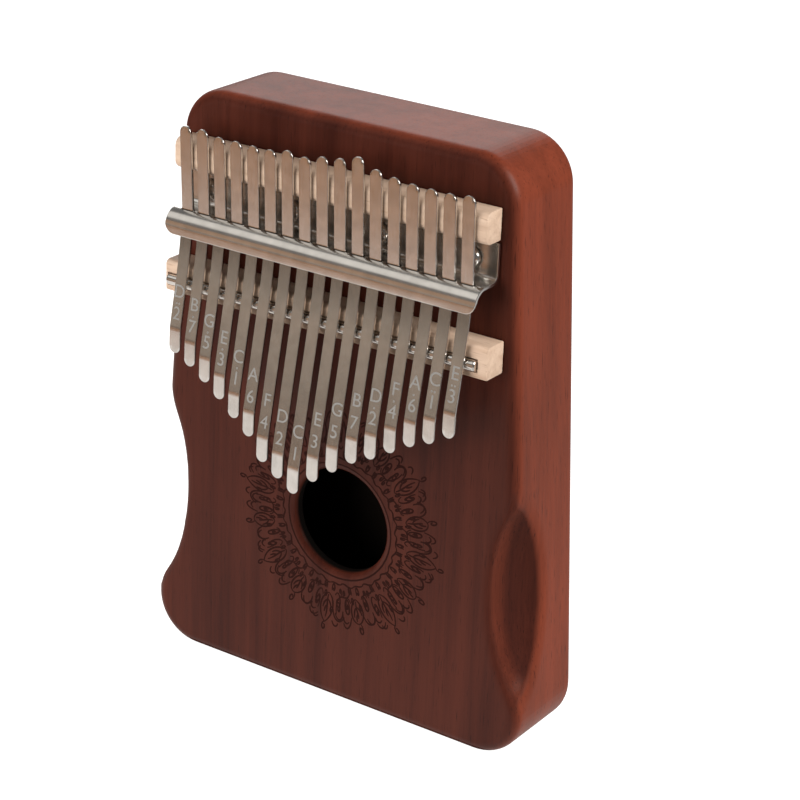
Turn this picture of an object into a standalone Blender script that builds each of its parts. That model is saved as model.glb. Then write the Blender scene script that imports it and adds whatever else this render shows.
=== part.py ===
"""Seventeen-key thumb piano (mbira): a hollow wooden body carrying spring-steel tines.

Frame: metres, +Z up, +X to the right, the front faces -Y. The body stands on its bottom edge,
the origin is under the middle of it and the front face lies at y = -BODY_DEPTH / 2.
"""
import math

import bmesh
import bpy
from mathutils import Matrix

# Hollow wooden body
BODY_HEIGHT = 0.170
TOP_WIDTH = 0.106
BOTTOM_WIDTH = 0.128
BODY_DEPTH = 0.030
EDGE_ROUND = 0.0035
TOP_CORNER = 0.0125
BOTTOM_CORNER = 0.015
SIDE_WALL = 0.012
SOUNDBOARD = 0.0035
CAVITY_CORNER = 0.010

# Back plate, let into the back of the body
PLATE_THICKNESS = 0.003
PLATE_LIP = 0.005

# Sound hole, a little to the right of the middle
SOUND_HOLE = 0.0304
HOLE_ROUND = 0.002
HOLE_SIDE = 0.0026
HOLE_HEIGHT = 0.329 * BODY_HEIGHT

# Hollows for the palms, one on each side of the front
SCOOP_HEIGHT = 0.282 * BODY_HEIGHT
SCOOP_LENGTH = 0.064
SCOOP_RADIUS = 0.015
SCOOP_OUT = 0.006

# Lower bridge with the round saddle rod let into its front face
ROD_BELOW_TOP = 0.0532
ROD_HEIGHT = BODY_HEIGHT - ROD_BELOW_TOP
ROD_DIAMETER = 0.0032
ROD_LENGTH = 0.101
ROD_SIDE = -0.001
BRIDGE_LENGTH = 0.1052
BRIDGE_DEPTH = 0.008
BRIDGE_HEIGHT = 0.0089
BRIDGE_BOTTOM = ROD_HEIGHT - 0.0035
BRIDGE_ROUND = 0.0015

# The hollow of the body ends above the bridge, so the screws bite into solid wood
CAVITY_TOP = ROD_HEIGHT + 0.0102

# Upper bar, which the shanks of the tines rest on
BAR_LENGTH = 0.100
BAR_DEPTH = 0.0073
BAR_HEIGHT = 0.0087
BAR_BOTTOM = ROD_HEIGHT + 0.0318
BAR_ROUND = 0.0024

# Pressure bracket folded from one steel sheet
SHEET = 0.0010
BRACKET_LENGTH = 0.1002
BRACKET_TOP = BAR_BOTTOM - 0.0006
WEB_TOP = ROD_HEIGHT + 0.0212
LIP_OUT = 0.0115
LIP_HEIGHT = 0.0066
LIP_BOTTOM = WEB_TOP - LIP_HEIGHT
FOLD_ROUND = 0.0048
FOOT_ROUND = 0.0028
LIP_CORNER = 0.0030
SLOT_GAP = 0.00035

# Screws that hold the bracket down
SCREW_COUNT = 4
SCREW_HEAD = 0.0056
SCREW_HEAD_HEIGHT = 0.0021
SCREW_SHANK = 0.0026
SCREW_LENGTH = 0.012
SCREW_HEIGHT = WEB_TOP + 0.0050
TINES_PER_SCREW = 5

# Tines, from left to right: how far each one reaches below the saddle rod, and how far it
# stands above the upper bar as tuned
REACHES = (0.0189, 0.0213, 0.0243, 0.0276, 0.0314, 0.0350, 0.0406, 0.0436, 0.0463,
           0.0415, 0.0374, 0.0335, 0.0309, 0.0277, 0.0246, 0.0223, 0.0194)
STAND_UPS = (0.0043, 0.0044, 0.0035, 0.0035, 0.0034, 0.0035, 0.0044, 0.0038, 0.0050,
             0.0057, 0.0073, 0.0051, 0.0042, 0.0037, 0.0036, 0.0036, 0.0042)
TINE_PITCH = 0.00565
TINE_WIDTH = 0.0037
TINE_THICKNESS = 0.0008
PRESS_HEIGHT = WEB_TOP - SHEET / 2
SHANK_LEAN = 0.045
TINE_SLOPE = 0.20
TIP_FLAT = 0.0078
TIP_SLOPE = 0.03
BEND_LENGTH = 0.0016

# Room left between neighbouring pieces
GAP = 0.0003

FRONT = -BODY_DEPTH / 2
BACK = BODY_DEPTH / 2
BAR_TOP = BAR_BOTTOM + BAR_HEIGHT
TINE_REST = BAR_BOTTOM + BAR_ROUND
TINE_BACK_REST = BAR_DEPTH + GAP
TINE_BACK_PRESS = TINE_BACK_REST - SHANK_LEAN * (TINE_REST - PRESS_HEIGHT)
TINE_BACK_ROD = BRIDGE_DEPTH + ROD_DIAMETER / 2 + GAP
TAPER = math.atan2((BOTTOM_WIDTH - TOP_WIDTH) / 2, BODY_HEIGHT)


def clear_scene():
    for item in list(bpy.data.objects):
        bpy.data.objects.remove(item, do_unlink=True)
    for group in (bpy.data.meshes, bpy.data.curves, bpy.data.materials):
        for item in list(group):
            group.remove(item)
    for item in list(bpy.data.collections):
        bpy.data.collections.remove(item)


def new_collection(name):
    collection = bpy.data.collections.new(name)
    bpy.context.scene.collection.children.link(collection)
    return collection


def new_material(name, colour, metallic, roughness):
    material = bpy.data.materials.new(name)
    material.use_nodes = True
    shader = material.node_tree.nodes["Principled BSDF"]
    shader.inputs["Base Color"].default_value = (*colour, 1.0)
    shader.inputs["Metallic"].default_value = metallic
    shader.inputs["Roughness"].default_value = roughness
    return material


def add_object(name, mesh, material=None):
    """Link a mesh as a named sub-part, or as a cutter when it has no material."""
    item = bpy.data.objects.new(name, mesh)
    if material is None:
        CUTTERS.objects.link(item)
        item.hide_render = True
        item.display_type = "WIRE"
    else:
        PARTS.objects.link(item)
        item.data.materials.append(material)
    return item


def cut(target, cutter, operation="DIFFERENCE"):
    modifier = target.modifiers.new("cut", "BOOLEAN")
    modifier.operation = operation
    modifier.solver = "EXACT"
    modifier.object = cutter


def body_half_width(height):
    return BOTTOM_WIDTH / 2 - height * math.tan(TAPER)


def round_corners(corners, steps=6):
    """Turn (x, y, radius) corners into an outline with an arc at every corner."""
    outline = []
    count = len(corners)
    for index, (x, y, radius) in enumerate(corners):
        if radius <= 0:
            outline.append((x, y))
            continue
        before = corners[index - 1]
        after = corners[(index + 1) % count]
        start = math.atan2(before[1] - y, before[0] - x)
        end = math.atan2(after[1] - y, after[0] - x)
        turn = (end - start) % (2 * math.pi)
        inside = turn if turn < math.pi else turn - 2 * math.pi
        middle = start + inside / 2
        reach = radius / math.sin(abs(inside) / 2)
        centre_x = x + reach * math.cos(middle)
        centre_y = y + reach * math.sin(middle)
        sweep = math.copysign(math.pi - abs(inside), inside)
        first = middle + math.pi + sweep / 2
        for step in range(steps + 1):
            angle = first - sweep * step / steps
            outline.append((centre_x + radius * math.cos(angle), centre_y + radius * math.sin(angle)))
    return outline


def body_outline(inset, bottom, top, bottom_radius, top_radius, steps=6):
    """Rounded trapezium following the sides of the body, drawn inset from them."""
    side = inset / math.cos(TAPER)
    low = body_half_width(bottom) - side
    high = body_half_width(top) - side
    corners = [(-low, bottom, bottom_radius), (low, bottom, bottom_radius),
               (high, top, top_radius), (-high, top, top_radius)]
    return round_corners(corners, steps)


def extruded_mesh(name, outline, thickness, edge=0.0):
    """Extrude a flat outline both ways from its plane, with rounded edges if asked."""
    curve = bpy.data.curves.new(name, "CURVE")
    curve.dimensions = "2D"
    curve.fill_mode = "BOTH"
    curve.extrude = thickness / 2 - edge
    curve.bevel_depth = edge
    curve.bevel_resolution = 2
    curve.offset = -edge
    spline = curve.splines.new("POLY")
    spline.points.add(len(outline) - 1)
    for point, (x, y) in zip(spline.points, outline):
        point.co = (x, y, 0.0, 1.0)
    spline.use_cyclic_u = True
    item = bpy.data.objects.new(name, curve)
    bpy.context.scene.collection.objects.link(item)
    graph = bpy.context.evaluated_depsgraph_get()
    mesh = bpy.data.meshes.new_from_object(item.evaluated_get(graph))
    bpy.data.objects.remove(item, do_unlink=True)
    bpy.data.curves.remove(curve)
    shape = bmesh.new()
    shape.from_mesh(mesh)
    bmesh.ops.remove_doubles(shape, verts=shape.verts, dist=0.000002)
    bmesh.ops.recalc_face_normals(shape, faces=shape.faces)
    shape.to_mesh(mesh)
    shape.free()
    mesh.name = name
    return mesh


def front_slab(name, outline, y_front, y_back, material=None, edge=0.0):
    """Slab seen from the front as its outline of (x, z), from y_front back to y_back."""
    mesh = extruded_mesh(name, outline, y_back - y_front, edge)
    mesh.transform(Matrix.Rotation(math.pi / 2, 4, "X"))
    item = add_object(name, mesh, material)
    item.location = (0.0, (y_front + y_back) / 2, 0.0)
    return item


def side_profile(name, outline, length, material=None):
    """Bar along X whose cross-section is an outline of (y, z)."""
    mesh = extruded_mesh(name, outline, length)
    turn = Matrix(((0, 0, 1, 0), (1, 0, 0, 0), (0, 1, 0, 0), (0, 0, 0, 1)))
    mesh.transform(turn)
    return add_object(name, mesh, material)


def box_mesh(name, boxes):
    """One mesh of separate boxes, each given as (centre, size)."""
    mesh = bpy.data.meshes.new(name)
    shape = bmesh.new()
    for centre, size in boxes:
        place = Matrix.Translation(centre) @ Matrix.Diagonal((*size, 1.0))
        bmesh.ops.create_cube(shape, size=1.0, matrix=place)
    shape.to_mesh(mesh)
    shape.free()
    return mesh


def turned(name, profile, location, segments, material=None):
    """Turned piece: (radius, height) profile spun about an axis that points to the front."""
    mesh = bpy.data.meshes.new(name)
    shape = bmesh.new()
    corners = [shape.verts.new((radius, 0.0, height)) for radius, height in profile]
    for first, second in zip(corners, corners[1:]):
        shape.edges.new((first, second))
    shape.to_mesh(mesh)
    shape.free()
    item = add_object(name, mesh, material)
    item.location = location
    item.rotation_euler = (math.pi / 2, 0.0, 0.0)
    spin = item.modifiers.new("spin", "SCREW")
    spin.axis = "Z"
    spin.steps = segments
    spin.render_steps = segments
    spin.use_merge_vertices = True
    spin.merge_threshold = 0.00001
    spin.use_smooth_shade = True
    return item


def make_body():
    outline = body_outline(0.0, 0.0, BODY_HEIGHT, BOTTOM_CORNER, TOP_CORNER)
    body = front_slab("body_shell", outline, FRONT, BACK, RED_WOOD, EDGE_ROUND)

    cavity_outline = body_outline(SIDE_WALL, SIDE_WALL, CAVITY_TOP, CAVITY_CORNER, CAVITY_CORNER, 4)
    cut(body, front_slab("cavity_cutter", cavity_outline, FRONT + SOUNDBOARD, BACK + PLATE_LIP))

    rebate_outline = body_outline(SIDE_WALL - PLATE_LIP, SIDE_WALL - PLATE_LIP,
                                  CAVITY_TOP + PLATE_LIP, CAVITY_CORNER + PLATE_LIP,
                                  CAVITY_CORNER + PLATE_LIP, 4)
    rebate_front = BACK - PLATE_THICKNESS - GAP
    cut(body, front_slab("rebate_cutter", rebate_outline, rebate_front, BACK + PLATE_LIP))

    inset = SIDE_WALL - PLATE_LIP + GAP
    plate_outline = body_outline(inset, inset, CAVITY_TOP + PLATE_LIP - GAP,
                                 CAVITY_CORNER + PLATE_LIP - GAP,
                                 CAVITY_CORNER + PLATE_LIP - GAP, 4)
    front_slab("back_plate", plate_outline, BACK - PLATE_THICKNESS, BACK, PLATE_WOOD)

    cut(body, make_hole_cutter())
    for side in (-1, 1):
        cut(body, make_scoop_cutter(side))
    for number in range(SCREW_COUNT):
        place = (screw_x(number), FRONT, SCREW_HEIGHT)
        depth = SCREW_LENGTH - SHEET
        cut(body, make_pin_cutter("body_pilot_cutter", place, depth))


def make_hole_cutter():
    radius = SOUND_HOLE / 2
    profile = [(0.0, HOLE_ROUND), (radius + HOLE_ROUND, HOLE_ROUND)]
    steps = 4
    for step in range(steps + 1):
        angle = math.pi / 2 * step / steps
        profile.append((radius + HOLE_ROUND * (1 - math.sin(angle)),
                        -HOLE_ROUND * (1 - math.cos(angle))))
    profile += [(radius, -2 * SOUNDBOARD), (0.0, -2 * SOUNDBOARD)]
    return turned("sound_hole_cutter", profile, (HOLE_SIDE, FRONT, HOLE_HEIGHT), 48)


def make_scoop_cutter(side):
    mesh = bpy.data.meshes.new("scoop_cutter")
    shape = bmesh.new()
    stretch = Matrix.Diagonal((1.0, 1.0, SCOOP_LENGTH / 2 / SCOOP_RADIUS, 1.0))
    lean = Matrix.Rotation(-side * TAPER, 4, "Y")
    bmesh.ops.create_uvsphere(shape, u_segments=40, v_segments=24, radius=SCOOP_RADIUS,
                              matrix=lean @ stretch)
    shape.to_mesh(mesh)
    shape.free()
    cutter = add_object("scoop_cutter", mesh)
    cutter.location = (side * (body_half_width(SCOOP_HEIGHT) + SCOOP_OUT), FRONT, SCOOP_HEIGHT)
    return cutter


def make_pin_cutter(name, place, depth):
    """Round hole for a screw, starting in front of the place and going the depth behind it."""
    mesh = bpy.data.meshes.new(name)
    shape = bmesh.new()
    radius = SCREW_SHANK / 2 + GAP
    length = 2 * depth
    turn = Matrix.Rotation(math.pi / 2, 4, "X")
    bmesh.ops.create_cone(shape, cap_ends=True, segments=20, radius1=radius, radius2=radius,
                          depth=length, matrix=turn)
    shape.to_mesh(mesh)
    shape.free()
    cutter = add_object(name, mesh)
    cutter.location = place
    return cutter


def make_wooden_bars():
    bar_back = FRONT - GAP
    bar_front = FRONT - BAR_DEPTH
    corners = [(bar_back, BAR_BOTTOM, 0.0), (bar_back, BAR_TOP, 0.0),
               (bar_front, BAR_TOP, BAR_ROUND), (bar_front, BAR_BOTTOM, BAR_ROUND)]
    side_profile("upper_bar", round_corners(corners, 4), BAR_LENGTH, PALE_WOOD)

    bridge_front = FRONT - BRIDGE_DEPTH
    bridge_top = BRIDGE_BOTTOM + BRIDGE_HEIGHT
    corners = [(bar_back, BRIDGE_BOTTOM, 0.0), (bar_back, bridge_top, 0.0),
               (bridge_front, bridge_top, BRIDGE_ROUND), (bridge_front, BRIDGE_BOTTOM, BRIDGE_ROUND / 2)]
    bridge = side_profile("lower_bridge", round_corners(corners, 4), BRIDGE_LENGTH, PALE_WOOD)
    groove = rod_mesh("groove_cutter", ROD_DIAMETER / 2 + GAP, ROD_LENGTH + 2 * GAP)
    cutter = add_object("groove_cutter", groove)
    cutter.location = (ROD_SIDE, bridge_front, ROD_HEIGHT)
    cut(bridge, cutter)

    rod = add_object("saddle_rod", rod_mesh("saddle_rod", ROD_DIAMETER / 2, ROD_LENGTH), STEEL)
    rod.location = (ROD_SIDE, bridge_front, ROD_HEIGHT)
    rounded = rod.modifiers.new("rounded ends", "BEVEL")
    rounded.width = 0.0004
    rounded.segments = 1
    rounded.limit_method = "ANGLE"


def rod_mesh(name, radius, length):
    mesh = bpy.data.meshes.new(name)
    shape = bmesh.new()
    turn = Matrix.Rotation(math.pi / 2, 4, "Y")
    bmesh.ops.create_cone(shape, cap_ends=True, segments=24, radius1=radius, radius2=radius,
                          depth=length, matrix=turn)
    shape.to_mesh(mesh)
    shape.free()
    return mesh


def tine_x(number):
    return (number - (len(REACHES) - 1) / 2) * TINE_PITCH


def screw_x(number):
    return (number - (SCREW_COUNT - 1) / 2) * TINES_PER_SCREW * TINE_PITCH


def make_bracket():
    """Foot flat on the soundboard, slotted web standing out from it, lip folded down in front."""
    foot_back = FRONT - GAP
    foot_front = foot_back - SHEET
    lip_front = FRONT - LIP_OUT
    lip_back = lip_front + SHEET
    web_bottom = WEB_TOP - SHEET
    corners = [(foot_back, BRACKET_TOP, 0.0), (foot_front, BRACKET_TOP, 0.0),
               (foot_front, WEB_TOP, FOOT_ROUND - SHEET), (lip_front, WEB_TOP, FOLD_ROUND),
               (lip_front, LIP_BOTTOM, 0.0), (lip_back, LIP_BOTTOM, 0.0),
               (lip_back, web_bottom, FOLD_ROUND - SHEET), (foot_back, web_bottom, FOOT_ROUND)]
    bracket = side_profile("pressure_bracket", round_corners(corners, 5), BRACKET_LENGTH, STEEL)

    half = BRACKET_LENGTH / 2
    above = BRACKET_TOP + SHEET
    trim_corners = [(-half, LIP_BOTTOM, LIP_CORNER), (half, LIP_BOTTOM, LIP_CORNER),
                    (half, above, 0.0), (-half, above, 0.0)]
    trim = front_slab("bracket_trim_cutter", round_corners(trim_corners, 4),
                      lip_front - SHEET, foot_back + SHEET)
    cut(bracket, trim, "INTERSECT")

    slot_back = FRONT - TINE_BACK_PRESS + SLOT_GAP
    slot_front = FRONT - TINE_BACK_PRESS - TINE_THICKNESS - SLOT_GAP
    slot_size = (TINE_WIDTH + 2 * SLOT_GAP, slot_back - slot_front, 3 * SHEET)
    slot_y = (slot_back + slot_front) / 2
    slots = [((tine_x(number), slot_y, WEB_TOP - SHEET / 2), slot_size)
             for number in range(len(REACHES))]
    cut(bracket, add_object("slot_cutter", box_mesh("slot_cutter", slots)))
    for number in range(SCREW_COUNT):
        place = (screw_x(number), foot_front, SCREW_HEIGHT)
        cut(bracket, make_pin_cutter("bracket_hole_cutter", place, 2 * SHEET))


def make_screw(number):
    head = SCREW_HEAD / 2
    shank = SCREW_SHANK / 2
    tall = SCREW_HEAD_HEIGHT
    profile = [(0.0, tall), (0.45 * head, 0.97 * tall), (0.8 * head, 0.75 * tall),
               (head, 0.35 * tall), (head, 0.0), (shank, 0.0),
               (shank, -0.75 * SCREW_LENGTH), (0.0, 0.0003 - SCREW_LENGTH)]
    location = (screw_x(number), FRONT - 2 * GAP - SHEET, SCREW_HEIGHT)
    screw = turned(f"bracket_screw_{number + 1}", profile, location, 20, STEEL)
    blade = (1.25 * head, 0.25 * head, tall)
    recess = box_mesh("recess_cutter", [((0.0, 0.0, tall), blade)])
    for angle in (0.0, math.pi / 2):
        cutter = add_object("recess_cutter", recess)
        cutter.location = location
        cutter.rotation_euler = (math.pi / 2, angle, 0.0)
        cut(screw, cutter)


def shank_back(height):
    """Distance from the soundboard to the back of a tine between its top and the saddle rod."""
    if height >= PRESS_HEIGHT:
        return TINE_BACK_PRESS + SHANK_LEAN * (height - PRESS_HEIGHT)
    span = PRESS_HEIGHT - ROD_HEIGHT
    along = (PRESS_HEIGHT - height) / span
    rise = TINE_BACK_ROD - TINE_BACK_PRESS
    start_slope = 2 * rise / span - TINE_SLOPE
    return TINE_BACK_PRESS + span * along * (start_slope + (TINE_SLOPE - start_slope) * along / 2)


def tongue_back(height, reach):
    """Distance from the soundboard to the back of a tine between the saddle rod and its tip."""
    below = ROD_HEIGHT - height
    straight = reach - TIP_FLAT
    if below <= straight:
        return TINE_BACK_ROD + TINE_SLOPE * below
    past = below - straight
    bent = min(past, BEND_LENGTH)
    curve = TINE_SLOPE * bent + (TIP_SLOPE - TINE_SLOPE) * bent * bent / (2 * BEND_LENGTH)
    return TINE_BACK_ROD + TINE_SLOPE * straight + curve + TIP_SLOPE * (past - bent)


def strip_mesh(name, stations, shape_back, round_first, pivot):
    """Loft a strip through the stations (heights), its first or last end rounded.

    Every row of points lies across the strip; the rows of the rounded end bow into a half circle.
    """
    columns = 4
    mesh = bpy.data.meshes.new(name)
    shape = bmesh.new()
    bmesh.ops.create_grid(shape, x_segments=columns, y_segments=len(stations) - 1, size=1.0)
    shape.verts.ensure_lookup_table()
    radius = TINE_WIDTH / 2
    rows = sorted({round(vert.co.y, 5) for vert in shape.verts}, reverse=True)
    for vert in shape.verts:
        row = rows.index(round(vert.co.y, 5))
        across = math.sin(vert.co.x * math.pi / 2)
        height = stations[row]
        bow = radius * (math.sqrt(max(0.0, 1 - across * across)) - 1)
        if round_first and row == 0:
            height += bow
        if not round_first and row == len(stations) - 1:
            height -= bow
        out = shape_back(height)
        vert.co = (across * radius, FRONT - out - pivot[1], height - pivot[2])
    bmesh.ops.recalc_face_normals(shape, faces=shape.faces)
    if shape.faces[0].normal.y > 0:
        bmesh.ops.reverse_faces(shape, faces=shape.faces)
    shape.to_mesh(mesh)
    shape.free()
    return mesh


def add_strip(name, mesh, location):
    strip = add_object(name, mesh, STEEL)
    strip.location = location
    thick = strip.modifiers.new("thickness", "SOLIDIFY")
    thick.thickness = TINE_THICKNESS
    thick.offset = 1.0
    thick.use_even_offset = True


def make_tine(number):
    """One tine in two sub-parts: the clamped shank and the tongue that is plucked."""
    reach = REACHES[number]
    radius = TINE_WIDTH / 2
    pivot = (tine_x(number), FRONT - TINE_BACK_ROD - TINE_THICKNESS / 2, ROD_HEIGHT)

    split = ROD_HEIGHT + GAP / 2
    curve = [PRESS_HEIGHT - (PRESS_HEIGHT - split) * step / 3 for step in range(4)]
    top = BAR_TOP + STAND_UPS[number]
    stations = [top, top - 1.15 * radius, *curve]
    name = f"tine_{number + 1:02d}_shank"
    add_strip(name, strip_mesh(name, stations, shank_back, True, pivot), pivot)

    tip = ROD_HEIGHT - reach
    bend = tip + TIP_FLAT
    stations = [ROD_HEIGHT - GAP / 2, bend, bend - BEND_LENGTH / 2, bend - BEND_LENGTH,
                tip + 1.15 * radius, tip]
    name = f"tine_{number + 1:02d}_tongue"
    back = lambda height: tongue_back(height, reach)
    add_strip(name, strip_mesh(name, stations, back, False, pivot), pivot)


clear_scene()
PARTS = new_collection("mbira")
CUTTERS = new_collection("cutters")
CUTTERS.hide_render = True
RED_WOOD = new_material("reddish_brown_wood", (0.09, 0.028, 0.020), 0.0, 0.35)
PLATE_WOOD = new_material("back_plate_wood", (0.10, 0.034, 0.024), 0.0, 0.38)
PALE_WOOD = new_material("pale_wood", (0.68, 0.50, 0.35), 0.0, 0.55)
STEEL = new_material("polished_steel", (0.55, 0.53, 0.50), 1.0, 0.25)

make_body()
make_wooden_bars()
make_bracket()
for screw_number in range(SCREW_COUNT):
    make_screw(screw_number)
for tine_number in range(len(REACHES)):
    make_tine(tine_number)
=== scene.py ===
"""Looks of the seventeen-key thumb piano: lacquered body, pale bars, polished steel keys."""
import math

import bmesh
import bpy
from mathutils import Matrix, Vector


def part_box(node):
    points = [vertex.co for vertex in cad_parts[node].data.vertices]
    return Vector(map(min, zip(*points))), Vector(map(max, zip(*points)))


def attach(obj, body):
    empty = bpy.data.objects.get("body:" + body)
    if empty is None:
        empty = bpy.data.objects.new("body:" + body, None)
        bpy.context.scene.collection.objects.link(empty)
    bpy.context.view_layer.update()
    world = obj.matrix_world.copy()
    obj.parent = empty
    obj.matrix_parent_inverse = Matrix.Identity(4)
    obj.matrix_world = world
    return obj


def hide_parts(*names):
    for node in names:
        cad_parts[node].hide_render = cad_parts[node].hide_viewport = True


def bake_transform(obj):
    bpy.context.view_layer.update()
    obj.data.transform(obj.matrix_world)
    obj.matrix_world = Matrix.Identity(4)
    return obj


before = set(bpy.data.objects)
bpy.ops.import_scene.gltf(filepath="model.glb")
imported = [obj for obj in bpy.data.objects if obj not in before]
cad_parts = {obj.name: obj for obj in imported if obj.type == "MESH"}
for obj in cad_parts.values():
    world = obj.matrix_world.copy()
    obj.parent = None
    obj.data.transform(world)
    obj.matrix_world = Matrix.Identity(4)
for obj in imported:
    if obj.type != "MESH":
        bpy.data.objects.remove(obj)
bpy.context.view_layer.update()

KEYS = 17
SCREWS = 4

# Sizes of the body that its box does not give
TOP_WIDTH = 0.106
BOTTOM_WIDTH = 0.1278
TOP_CORNER = 0.0125
BOTTOM_CORNER = 0.015
EDGE_ROUND = 0.0035
SIDE_WALL = 0.012
REBATE = 0.005
HOLLOW_CORNER = 0.010
HOLLOW_ABOVE_ROD = 0.0118
SOUNDBOARD = 0.0035
HOLE_RADIUS = 0.0152
HOLE_ROUND = 0.002
SCOOP_RADIUS = 0.015
SCOOP_LENGTH = 0.064
SCOOP_OUT = 0.006

# Sizes of the engraved wreath
WREATH_INNER = HOLE_RADIUS + 0.0034
WREATH_OUTER = 0.0328
WREATH_LINE = 0.00021

# Sizes of the bars, the folded bracket and its screws
BAR_ROUND = 0.0024
BAR_END_ROUND = 0.00035
BRIDGE_TOP_ROUND = 0.0015
BRIDGE_BOTTOM_ROUND = 0.0008
GROOVE_CLEAR = 0.0003
ROD_END_ROUND = 0.0007
SHEET = 0.0010
LIP_HEIGHT = 0.0066
FOLD_ROUND = 0.0048
FOOT_ROUND = 0.0018
LIP_CORNER = 0.0030
SLOT_GAP = 0.00035
SLOT_ROUND = 0.00045
SHEET_RIM = 0.00022
PIN_HOLE = 0.0016
SCREW_HEAD = 0.0056
SCREW_DOME = 0.0021
SCREW_SHANK = 0.0013

# Sizes of the keys and of the notes etched on them
KEY_THICKNESS = 0.0008
KEY_EDGE = 0.00016
KEY_CLEAR = 0.0003
KEY_LEAN = 0.045
KEY_SLOPE = 0.20
TIP_SLOPE = 0.03
TIP_FLAT = 0.0078
BEND_LENGTH = 0.0016
NOTE_SIZE = 0.0052
NOTE_PROUD = 0.00001
FIGURE_ABOVE_BEND = 0.0034
DOTS_ABOVE_BEND = 0.0063
LETTER_ABOVE_BEND = 0.0094
DOT_RADIUS = 0.00027
DOT_PITCH = 0.0009
NOTES = ("D2", "B7", "G5", "E3", "C1", "A6", "F4", "D2", "C1",
         "E3", "G5", "B7", "D2", "F4", "A6", "C1", "E3")
OCTAVE_DOTS = (2, 1, 1, 1, 1, 0, 0, 0, 0, 0, 0, 0, 1, 1, 1, 2, 2)

# Colours that several finishes share
STEEL = (0.76, 0.74, 0.71)
# Painted light: the sides' brighter red stands in for the key light falling on them.
LIT_SIDE_RED = (0.200, 0.040, 0.018)
# Painted shade: near-black for the walls of the hollow, where shade falls.
INSIDE_PAINTED_SHADE = (0.007, 0.0050, 0.0040)

# Places taken from the frame
BODY_LOW, BODY_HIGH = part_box("body_shell")
HEIGHT = BODY_HIGH.z
FRONT = BODY_LOW.y
BACK = BODY_HIGH.y
TAPER = math.atan2((BOTTOM_WIDTH - TOP_WIDTH) / 2, HEIGHT)
HOLE_CENTRE = Vector((0.0026, FRONT, 0.329 * HEIGHT))
SCOOP_CENTRE = 0.282 * HEIGHT

# The keys' common line: where they bend over the rod, where the bracket presses them
ROD_LOW, ROD_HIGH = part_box("saddle_rod")
BAR_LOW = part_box("upper_bar")[0]
ROD = (ROD_LOW.z + ROD_HIGH.z) / 2
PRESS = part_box("pressure_bracket")[0].z + LIP_HEIGHT - SHEET / 2
SPAN = PRESS - ROD
BACK_AT_ROD = FRONT - ROD_LOW.y + KEY_CLEAR
BACK_AT_PRESS = FRONT - BAR_LOW.y + KEY_CLEAR - KEY_LEAN * (BAR_LOW.z + BAR_ROUND - PRESS)
START_SLOPE = 2 * (BACK_AT_ROD - BACK_AT_PRESS) / SPAN - KEY_SLOPE

# The camera: its direction from the object, its turn, what it looks at and from how far
AZIMUTH = math.radians(33.75)
ELEVATION = math.radians(22.69)
ROLL = math.radians(2.276)
AIM = Vector((0.01115, 0.0, 0.08982))
CAMERA_DISTANCE = 0.66863
FOCAL_LENGTH = 110.05


# ---------------------------------------------------------------- camera and studio

def set_camera():
    back = Vector((math.sin(AZIMUTH) * math.cos(ELEVATION),
                   -math.cos(AZIMUTH) * math.cos(ELEVATION), math.sin(ELEVATION)))
    side = (-back).cross(Vector((0, 0, 1))).normalized()
    up = side.cross(-back)
    right = side * math.cos(ROLL) + up * math.sin(ROLL)
    top = up * math.cos(ROLL) - side * math.sin(ROLL)
    camera = bpy.data.objects.new("camera", bpy.data.cameras.new("camera"))
    camera.data.sensor_width = 36
    camera.data.lens = FOCAL_LENGTH
    camera.data.clip_start = 0.05
    turn = Matrix((right, top, back)).transposed().to_4x4()
    camera.matrix_world = Matrix.Translation(AIM + back * CAMERA_DISTANCE) @ turn
    bpy.context.scene.collection.objects.link(camera)
    bpy.context.scene.camera = camera


def add_light(name, place, aim, size, watts, colour):
    lamp = bpy.data.lights.new(name, "AREA")
    lamp.shape = "RECTANGLE"
    lamp.size, lamp.size_y = size
    lamp.energy = watts
    lamp.color = colour
    light = bpy.data.objects.new(name, lamp)
    light.location = place
    light.rotation_euler = (Vector(aim) - Vector(place)).to_track_quat("-Z", "Y").to_euler()
    bpy.context.scene.collection.objects.link(light)
    return light


def add_card(name, corners, material, lights):
    """Glowing card that the polished surfaces mirror; it lights the object too where lights says so."""
    shape = bmesh.new()
    shape.faces.new([shape.verts.new(corner) for corner in corners])
    card = finish_piece(name, shape, material)
    card.visible_camera = False
    card.visible_diffuse = lights
    card.visible_shadow = False
    card.visible_transmission = False


def glow(name, colour):
    material, _, shader = new_material(name)
    shader.inputs["Base Color"].default_value = (0, 0, 0, 1)
    shader.inputs["Specular IOR Level"].default_value = 0
    shader.inputs["Emission Color"].default_value = (*colour, 1)
    shader.inputs["Emission Strength"].default_value = 1.0
    return material


def flat_card(left, right, near, far, height=0.002):
    return [(left, near, height), (right, near, height), (right, far, height), (left, far, height)]


def upright_card(left, right, depth, low, high):
    return [(left, depth, low), (right, depth, low), (right, depth, high), (left, depth, high)]


def set_backdrop():
    """World that shows white behind the object and lights it only a little."""
    world = bpy.data.worlds.new("studio")
    world.use_nodes = True
    sky = world.node_tree.nodes["Background"]
    sky.inputs["Color"].default_value = (1.0, 0.97, 0.94, 1)
    seen = add_node(world.node_tree, "ShaderNodeLightPath").outputs["Is Camera Ray"]
    level = ramp(world.node_tree, seen, 0.0, 1.0, 0.15, 1.1)
    world.node_tree.links.new(level, sky.inputs["Strength"])
    bpy.context.scene.world = world
    bpy.context.scene.view_settings.view_transform = "Standard"


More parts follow.
